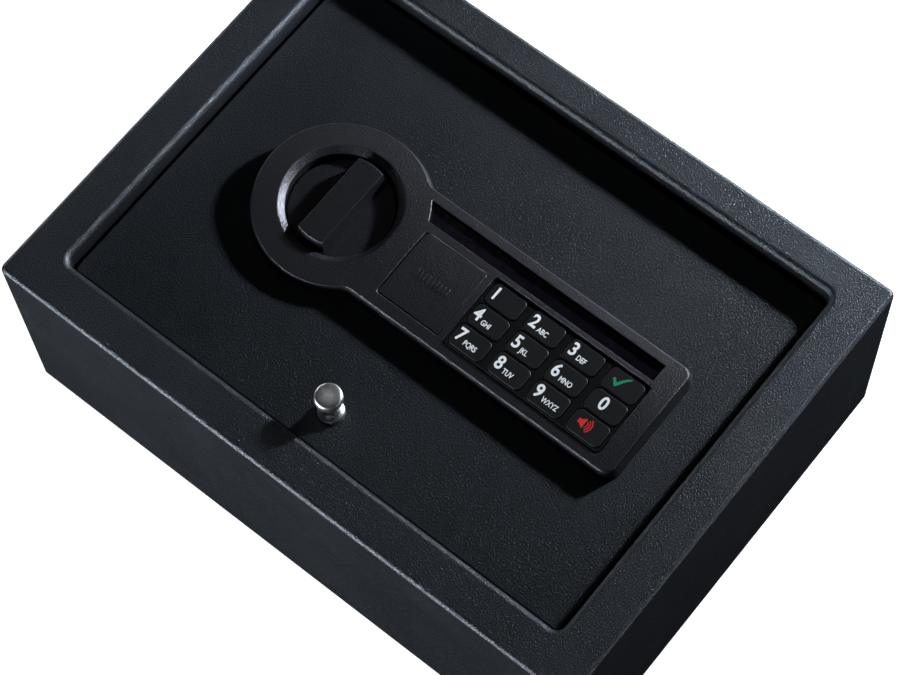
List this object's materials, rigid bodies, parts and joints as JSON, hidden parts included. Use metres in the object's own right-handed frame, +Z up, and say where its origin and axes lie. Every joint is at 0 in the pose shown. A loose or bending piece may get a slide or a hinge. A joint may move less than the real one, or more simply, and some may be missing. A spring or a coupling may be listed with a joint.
{
  "type": "gun safe",
  "caption": "Low rectangular steel safe with a recessed top-opening lid, turn knob in a round well, push-button keypad and small pull knob.",
  "frame": {"origin": "middle of the underside, on the surface the safe stands on", "axes": "+X along the long side, with the front facing -Y and the hinges at +Y, +Z up"},
  "size_m": [0.3, 0.22, 0.1186],
  "materials": {
    "powder_coat": "fine textured matte powder coat",
    "bare_steel": "plain rolled steel",
    "zinc_plate": "bright zinc plating",
    "satin_nickel": "polished satin nickel",
    "lock_plastic": "finely grained moulding",
    "smoked_lens": "polished, dark smoked",
    "key_plastic": "smooth satin moulding",
    "silicone": "matte",
    "circuit_board": "green solder mask",
    "brass": "machined",
    "nylon": "natural nylon",
    "coil_wrap": "taped coil in a steel frame",
    "cell_label": "printed sleeve",
    "foam": "soft closed-cell foam with a felt face",
    "wire": "insulated lead"
  },
  "bodies": {
    "box": {"body_shell": "powder_coat", "base_plate": "powder_coat", "floor_mat": "foam", "front_keeper": "powder_coat", "stop_rail_left": "powder_coat", "stop_rail_right": "powder_coat", "hinge_bracket_left": "powder_coat", "hinge_bracket_right": "powder_coat", "hinge_pin_left": "zinc_plate", "hinge_pin_right": "zinc_plate"},
    "lid": {"door_panel": "powder_coat", "hinge_leaf_left": "bare_steel", "hinge_leaf_right": "bare_steel", "lock_housing": "lock_plastic", "window_strip": "smoked_lens", "keypad_bezel": "key_plastic", "keypad_mat": "silicone", "keypad_board": "circuit_board", "override_lock_body": "satin_nickel", "override_lock_nut": "brass", "pull_knob": "satin_nickel", "pull_knob_screw": "zinc_plate", "spindle_bush": "nylon", "solenoid": "coil_wrap", "control_board": "circuit_board", "battery_box": "lock_plastic", "battery_1": "cell_label", "battery_2": "cell_label", "battery_3": "cell_label", "battery_4": "cell_label", "bolt_guide_left": "bare_steel", "bolt_guide_right": "bare_steel", "mechanism_cover": "powder_coat", "keypad_cable": "wire"},
    "knob": {"knob": "lock_plastic", "knob_spindle": "zinc_plate", "drive_cam": "zinc_plate", "cam_screw": "zinc_plate"},
    "bolts": {"bolt_bar": "zinc_plate", "bolt_left": "zinc_plate", "bolt_right": "zinc_plate"},
    "latch": {"solenoid_plunger": "bare_steel", "latch_plate": "zinc_plate"},
    "override_plug": {"override_lock_plug": "brass", "override_lever": "zinc_plate"},
    "badge": {"badge_cover": "lock_plastic"},
    "hatch": {"battery_hatch": "lock_plastic"},
    "key_1": {"key_1": "key_plastic"},
    "key_2": {"key_2": "key_plastic"},
    "key_3": {"key_3": "key_plastic"},
    "key_enter": {"key_enter": "key_plastic"},
    "key_4": {"key_4": "key_plastic"},
    "key_5": {"key_5": "key_plastic"},
    "key_6": {"key_6": "key_plastic"},
    "key_0": {"key_0": "key_plastic"},
    "key_7": {"key_7": "key_plastic"},
    "key_8": {"key_8": "key_plastic"},
    "key_9": {"key_9": "key_plastic"},
    "key_sound": {"key_sound": "key_plastic"}
  },
  "joints": [
    {"name": "lid_hinge", "type": "hinge", "parent": "box", "child": "lid", "pos_m": [0, 0.0792, 0.0925], "axis": [-1, 0, 0], "range_deg": [0, 100]},
    {"name": "knob_turn", "type": "hinge", "parent": "lid", "child": "knob", "pos_m": [-0.057, 0.002, 0.1], "axis": [0, 0, 1], "range_deg": [0, 90]},
    {"name": "bolt_slide", "type": "slide", "parent": "lid", "child": "bolts", "axis": [0, -1, 0], "range_m": [0, 0.01273]},
    {"name": "latch_slide", "type": "slide", "parent": "lid", "child": "latch", "axis": [-1, 0, 0], "range_m": [0, 0.004], "stiffness_N_per_m": 80, "springref_m": 0.006},
    {"name": "override_turn", "type": "hinge", "parent": "lid", "child": "override_plug", "pos_m": [-0.0035, -0.0035, 0.1], "axis": [0, 0, 1], "range_deg": [-90, 0]},
    {"name": "badge_pull", "type": "slide", "parent": "lid", "child": "badge", "axis": [0, 0, 1], "range_m": [0, 0.02]},
    {"name": "hatch_slide", "type": "slide", "parent": "lid", "child": "hatch", "axis": [0, 1, 0], "range_m": [0, 0.045]},
    {"name": "key_1_press", "type": "slide", "parent": "lid", "child": "key_1", "axis": [0, 0, -1], "range_m": [0, 0.0007], "stiffness_N_per_m": 300},
    {"name": "key_2_press", "type": "slide", "parent": "lid", "child": "key_2", "axis": [0, 0, -1], "range_m": [0, 0.0007], "stiffness_N_per_m": 300},
    {"name": "key_3_press", "type": "slide", "parent": "lid", "child": "key_3", "axis": [0, 0, -1], "range_m": [0, 0.0007], "stiffness_N_per_m": 300},
    {"name": "key_enter_press", "type": "slide", "parent": "lid", "child": "key_enter", "axis": [0, 0, -1], "range_m": [0, 0.0007], "stiffness_N_per_m": 300},
    {"name": "key_4_press", "type": "slide", "parent": "lid", "child": "key_4", "axis": [0, 0, -1], "range_m": [0, 0.0007], "stiffness_N_per_m": 300},
    {"name": "key_5_press", "type": "slide", "parent": "lid", "child": "key_5", "axis": [0, 0, -1], "range_m": [0, 0.0007], "stiffness_N_per_m": 300},
    {"name": "key_6_press", "type": "slide", "parent": "lid", "child": "key_6", "axis": [0, 0, -1], "range_m": [0, 0.0007], "stiffness_N_per_m": 300},
    {"name": "key_0_press", "type": "slide", "parent": "lid", "child": "key_0", "axis": [0, 0, -1], "range_m": [0, 0.0007], "stiffness_N_per_m": 300},
    {"name": "key_7_press", "type": "slide", "parent": "lid", "child": "key_7", "axis": [0, 0, -1], "range_m": [0, 0.0007], "stiffness_N_per_m": 300},
    {"name": "key_8_press", "type": "slide", "parent": "lid", "child": "key_8", "axis": [0, 0, -1], "range_m": [0, 0.0007], "stiffness_N_per_m": 300},
    {"name": "key_9_press", "type": "slide", "parent": "lid", "child": "key_9", "axis": [0, 0, -1], "range_m": [0, 0.0007], "stiffness_N_per_m": 300},
    {"name": "key_sound_press", "type": "slide", "parent": "lid", "child": "key_sound", "axis": [0, 0, -1], "range_m": [0, 0.0007], "stiffness_N_per_m": 300}
  ],
  "couplings": [
    {"joint": "knob_turn", "follows": "bolt_slide", "rad_per_m": 123.41}
  ]
}
